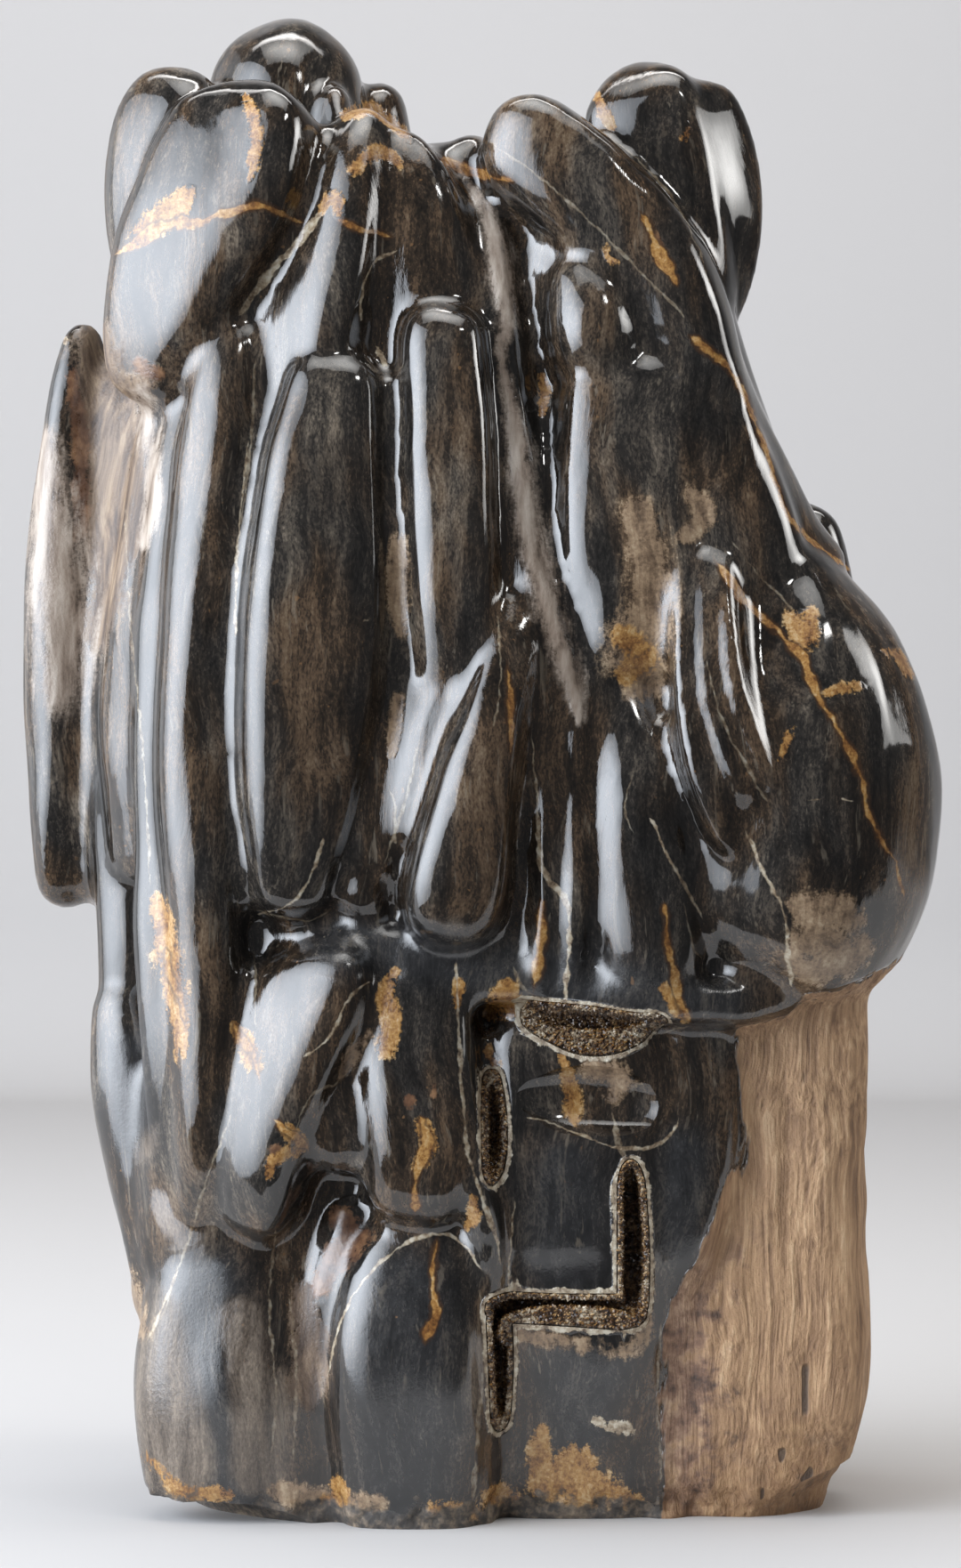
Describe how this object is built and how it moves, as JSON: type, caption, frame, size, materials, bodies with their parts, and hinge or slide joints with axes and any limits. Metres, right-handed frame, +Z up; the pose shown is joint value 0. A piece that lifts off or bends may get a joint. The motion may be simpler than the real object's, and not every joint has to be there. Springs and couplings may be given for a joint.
{
  "type": "petrified wood",
  "caption": "Free-standing piece of fossil trunk, polished into long flowing lobes above, raw and fibrous low on one side, with crystal-lined hollows and a flat base.",
  "frame": {"origin": "centre of the flat resting face under the trunk", "axes": "+Z up along the trunk, -Y towards the front with the raw post on the right, +X to the right"},
  "size_m": [0.2769, 0.1924, 0.4556],
  "materials": {
    "stone": "polished to a high gloss, raw and matt on the post low on the right",
    "crystal": "fine rough crystals, cream at the rim and brown inside"
  },
  "bodies": {
    "root": {"petrified_wood": "stone", "crust_crescent": "crystal", "crust_upper_slot": "crystal", "crust_corner": "crystal"}
  },
  "joints": []
}
